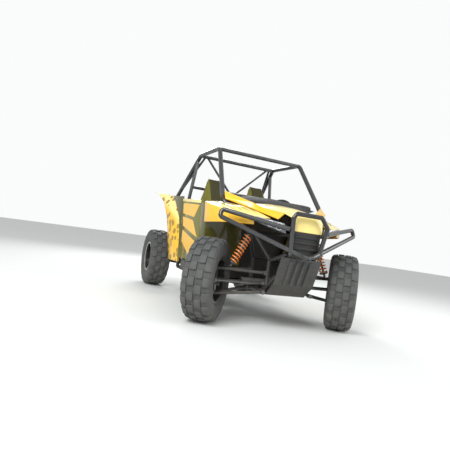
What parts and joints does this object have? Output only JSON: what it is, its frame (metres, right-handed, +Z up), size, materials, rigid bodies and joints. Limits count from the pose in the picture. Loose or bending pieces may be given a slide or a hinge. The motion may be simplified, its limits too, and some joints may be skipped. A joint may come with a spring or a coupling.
{
  "type": "side-by-side off-road buggy",
  "caption": "Two-seat side-by-side off-road buggy with an open roll cage, tubular front bumper, half doors, cargo bed, long-travel suspension and knobbly tyres",
  "frame": {"origin": "on the ground, at the middle of the overall length and width", "axes": "front along -Y, the vehicle's left along +X, up along +Z; the front wheels are stored turned to the vehicle's right"},
  "size_m": [2.1172, 3.2359, 1.8395],
  "materials": {
    "frame_tube": "satin black powder coat",
    "bumper_tube": "gloss black",
    "orange_yellow": "gloss moulded plastic",
    "pale_yellow": "gloss moulded plastic",
    "olive": "satin moulded plastic",
    "black_plastic": "grained",
    "tyre": "moulded rubber",
    "rim": "gloss black cast wheel",
    "seat_cover": "padded cover",
    "lamp": "clear lens over grey reflector",
    "tail_lamp": "red lens",
    "engine_metal": "cast, dull",
    "exhaust": "dull steel",
    "spring": "orange powder coat",
    "damper": "grey",
    "suspension": "satin black"
  },
  "bodies": {
    "chassis": {"main_frame": "frame_tube", "cage_side_left": "frame_tube", "cage_side_right": "frame_tube", "cage_posts": "frame_tube", "cage_bars": "frame_tube", "bumper_hoop": "bumper_tube", "bumper_wings": "bumper_tube", "skid_plate": "black_plastic", "cabin_tub": "black_plastic", "seat_risers": "black_plastic", "sills": "frame_tube", "dashboard": "black_plastic", "cowl": "black_plastic", "hood": "pale_yellow", "hood_fins": "orange_yellow", "nose_grille": "black_plastic", "headlights": "lamp", "taillights": "tail_lamp", "front_fender_left": "orange_yellow", "front_fender_right": "orange_yellow", "arch_panel_left": "olive", "arch_panel_right": "olive", "rear_fender_left": "orange_yellow", "rear_fender_right": "orange_yellow", "side_scoop_left": "olive", "side_scoop_right": "olive", "panel_stays": "frame_tube", "cargo_bed": "black_plastic", "seat_left": "seat_cover", "seat_right": "seat_cover", "engine": "engine_metal", "muffler": "exhaust", "front_driveline": "engine_metal", "rear_driveline": "engine_metal", "front_arms_left": "suspension", "front_arms_right": "suspension", "rear_arms_left": "suspension", "rear_arms_right": "suspension", "steering_rack": "suspension", "steering_column": "suspension", "shock_absorbers": "damper", "shock_springs": "spring"},
    "knuckle_left": {"knuckle_left": "suspension"},
    "knuckle_right": {"knuckle_right": "suspension"},
    "tie_rod_left": {"tie_rod_left": "suspension"},
    "tie_rod_right": {"tie_rod_right": "suspension"},
    "steering_wheel": {"steering_wheel": "black_plastic"},
    "door_left": {"door_left": "olive"},
    "door_right": {"door_right": "olive"},
    "wheel_front_left": {"rim_front_left": "rim", "tyre_front_left": "tyre"},
    "wheel_front_right": {"rim_front_right": "rim", "tyre_front_right": "tyre"},
    "wheel_rear_left": {"rim_rear_left": "rim", "tyre_rear_left": "tyre"},
    "wheel_rear_right": {"rim_rear_right": "rim", "tyre_rear_right": "tyre"}
  },
  "joints": [
    {"name": "steer_left", "type": "hinge", "parent": "chassis", "child": "knuckle_left", "pos_m": [0.685, -1.15, 0.395], "axis": [0, 0, 1], "range_deg": [-2, 74]},
    {"name": "steer_right", "type": "hinge", "parent": "chassis", "child": "knuckle_right", "pos_m": [-0.685, -1.15, 0.395], "axis": [0, 0, 1], "range_deg": [-2, 74]},
    {"name": "tie_rod_left", "type": "hinge", "parent": "knuckle_left", "child": "tie_rod_left", "pos_m": [0.74112, -1.05234, 0.4], "axis": [0, 0, 1], "range_deg": [-74, 2]},
    {"name": "tie_rod_right", "type": "hinge", "parent": "knuckle_right", "child": "tie_rod_right", "pos_m": [-0.60946, -1.06644, 0.4], "axis": [0, 0, 1], "range_deg": [-74, 2]},
    {"name": "steering_wheel_turn", "type": "hinge", "parent": "chassis", "child": "steering_wheel", "pos_m": [0.3, -0.43, 1.18], "axis": [0, 0.866, 0.5], "range_deg": [-18, 666]},
    {"name": "spin_front_left", "type": "hinge", "parent": "knuckle_left", "child": "wheel_front_left", "pos_m": [0.73759, -1.18821, 0.395], "axis": [0.809, -0.5878, 0], "continuous": true},
    {"name": "spin_front_right", "type": "hinge", "parent": "knuckle_right", "child": "wheel_front_right", "pos_m": [-0.73759, -1.11179, 0.395], "axis": [0.809, -0.5878, 0], "continuous": true},
    {"name": "spin_rear_left", "type": "hinge", "parent": "chassis", "child": "wheel_rear_left", "pos_m": [0.75, 1.15, 0.395], "axis": [1, 0, 0], "continuous": true},
    {"name": "spin_rear_right", "type": "hinge", "parent": "chassis", "child": "wheel_rear_right", "pos_m": [-0.75, 1.15, 0.395], "axis": [1, 0, 0], "continuous": true},
    {"name": "door_left_hinge", "type": "hinge", "parent": "chassis", "child": "door_left", "pos_m": [0.69, 0.292, 0.85], "axis": [0, 0, 1], "range_deg": [0, 65]},
    {"name": "door_right_hinge", "type": "hinge", "parent": "chassis", "child": "door_right", "pos_m": [-0.69, 0.292, 0.85], "axis": [0, 0, 1], "range_deg": [-65, 0]}
  ],
  "couplings": [
    {"joint": "steer_right", "follows": "steer_left", "ratio": 1},
    {"joint": "steering_wheel_turn", "follows": "steer_left", "ratio": 9},
    {"joint": "tie_rod_left", "follows": "steer_left", "ratio": -1},
    {"joint": "tie_rod_right", "follows": "steer_left", "ratio": -1}
  ]
}
